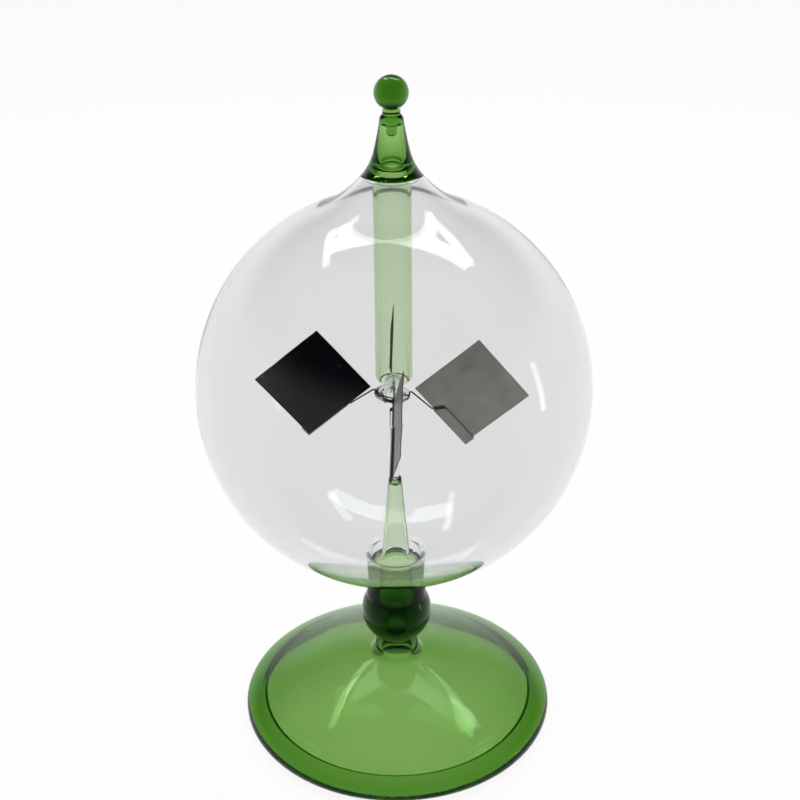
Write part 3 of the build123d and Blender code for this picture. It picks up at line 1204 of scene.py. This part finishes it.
@dataclass
class Studio:
    """Pale floor, soft lamps, white walls under a dark ceiling, and the camera."""

    floor_size: float = 6.0
    floor_drop: float = 0.0001
    floor_colour: str = "#F2F2F0"
    fill: float = 0.45
    wall_top: float = 0.12
    ceiling_foot: float = 0.5
    ceiling: float = 0.06
    floor_glow: float = 0.9
    elevation: float = 27.0
    distance: float = 0.4319
    aim_height: float = 0.1195
    focal_px: float = 1419.2
    frame_px: float = 800.0
    aim_px: tuple[float, float] = (394.2, 387.71)
    roll: float = -0.6
    sensor: float = 36.0
    near_clip: float = 0.01
    bounces: int = 32

    def floor(self) -> None:
        """Adds the floor, which is white where the camera sees it and keeps a soft shadow."""
        clear_selection()
        bpy.ops.mesh.primitive_plane_add(size=self.floor_size, location=(0, 0, -self.floor_drop))
        floor = bpy.context.object
        floor.name = "floor"
        material, tree, output = empty_tree("matt_white_board")
        amount = calculate(tree, "MULTIPLY", self.seen(tree), self.floor_glow)
        board = shader(tree, "BsdfDiffuse", Color=linear(self.floor_colour))
        glow = shader(tree, "Emission", Strength=1.0)
        mix = shader(tree, "MixShader", Fac=amount, i1=board, i2=glow)
        tree.links.new(mix, output.inputs["Surface"])
        floor.data.materials.append(material)

    def seen(self, tree: Tree) -> Socket:
        """One where the camera looks at a surface directly, in a reflection or through glass."""
        path = add_node(tree, "ShaderNodeLightPath").outputs
        either = calculate(tree, "MAXIMUM", path["Is Camera Ray"], path["Is Glossy Ray"])
        any_of = calculate(tree, "MAXIMUM", either, path["Is Transmission Ray"])
        direct = calculate(tree, "LESS_THAN", path["Diffuse Depth"], 0.5)
        return calculate(tree, "MULTIPLY", any_of, direct)

    def surroundings(self) -> None:
        """Sets the world: what is seen of it, and a softer fill where it lights surfaces.

        The camera sees white. Reflections and glass show a white wall and a dark ceiling.
        """
        world = bpy.data.worlds.new("white_tent")
        world.use_nodes = True
        tree = world.node_tree
        tree.nodes.clear()
        output = tree.nodes.new("ShaderNodeOutputWorld")
        fill = shader(tree, "Background", Color=WHITE, Strength=self.fill)
        direction = add_node(tree, "ShaderNodeTexCoord")
        parts = add_node(tree, "ShaderNodeSeparateXYZ", Vector=direction.outputs["Generated"])
        wall = add_node(
            tree,
            "ShaderNodeMapRange",
            {"interpolation_type": "SMOOTHSTEP"},
            Value=parts.outputs["Z"],
            From_Min=self.wall_top,
            From_Max=self.ceiling_foot,
            To_Min=1.0,
            To_Max=self.ceiling,
        )
        camera_ray = add_node(tree, "ShaderNodeLightPath").outputs["Is Camera Ray"]
        level = calculate(tree, "MAXIMUM", wall.outputs["Result"], camera_ray)
        room = shader(tree, "Background", Color=WHITE, Strength=level)
        mix = shader(tree, "MixShader", Fac=self.seen(tree), i1=fill, i2=room)
        tree.links.new(mix, output.inputs["Surface"])
        bpy.context.scene.world = world

    def camera(self) -> None:
        """Adds the camera at the photograph's angle."""
        lift = math.radians(self.elevation)
        forward = Vector((0, math.cos(lift), -math.sin(lift)))
        right = Vector((1, 0, 0))
        up = right.cross(forward)
        roll = math.radians(self.roll)
        cosine, sine = math.cos(roll), math.sin(roll)
        right, up = (right * cosine + up * sine, up * cosine - right * sine)
        place = Vector((0, 0, self.aim_height)) - forward * self.distance
        lens = bpy.data.cameras.new("camera")
        lens.sensor_width = self.sensor
        lens.lens = self.focal_px * self.sensor / self.frame_px
        lens.shift_x = 0.5 - self.aim_px[0] / self.frame_px
        lens.shift_y = self.aim_px[1] / self.frame_px - 0.5
        lens.clip_start = self.near_clip
        holder = bpy.data.objects.new("camera", lens)
        bpy.context.scene.collection.objects.link(holder)
        turn = Matrix((right, up, -forward)).transposed()
        holder.matrix_world = Matrix.Translation(place) @ turn.to_4x4()
        bpy.context.scene.camera = holder

    def build(self) -> None:
        """Sets up the studio."""
        scene = bpy.context.scene
        scene.view_settings.view_transform = "Standard"
        scene.cycles.max_bounces = self.bounces
        scene.cycles.transmission_bounces = self.bounces
        scene.cycles.transparent_max_bounces = self.bounces
        self.floor()
        self.surroundings()
        for lamp in LAMPS:
            lamp.build()
        self.camera()


def main() -> None:
    """Builds the dressed model around the frame."""
    logging.basicConfig(level=logging.INFO, format="%(name)s %(message)s")
    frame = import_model()
    green, pale = GREEN.material(), PALE_GREEN.material()
    clear, clear_tube = CLEAR.material(), CLEAR_TUBE.material()
    globe = Globe(clear)
    GreenBase(green).build()
    NeedleStem(pale, clear_tube, NEEDLE_STEEL.material()).build()
    globe.build()
    Finial(green, pale, globe).build()
    wire, foil, soot = WIRE_STEEL.material(), VANE_FOIL.material(), SOOT.material()
    Rotor(clear_tube, wire, foil, soot, frame["nodes"]).build()
    Studio().build()


if __name__ == "__main__":
    main()
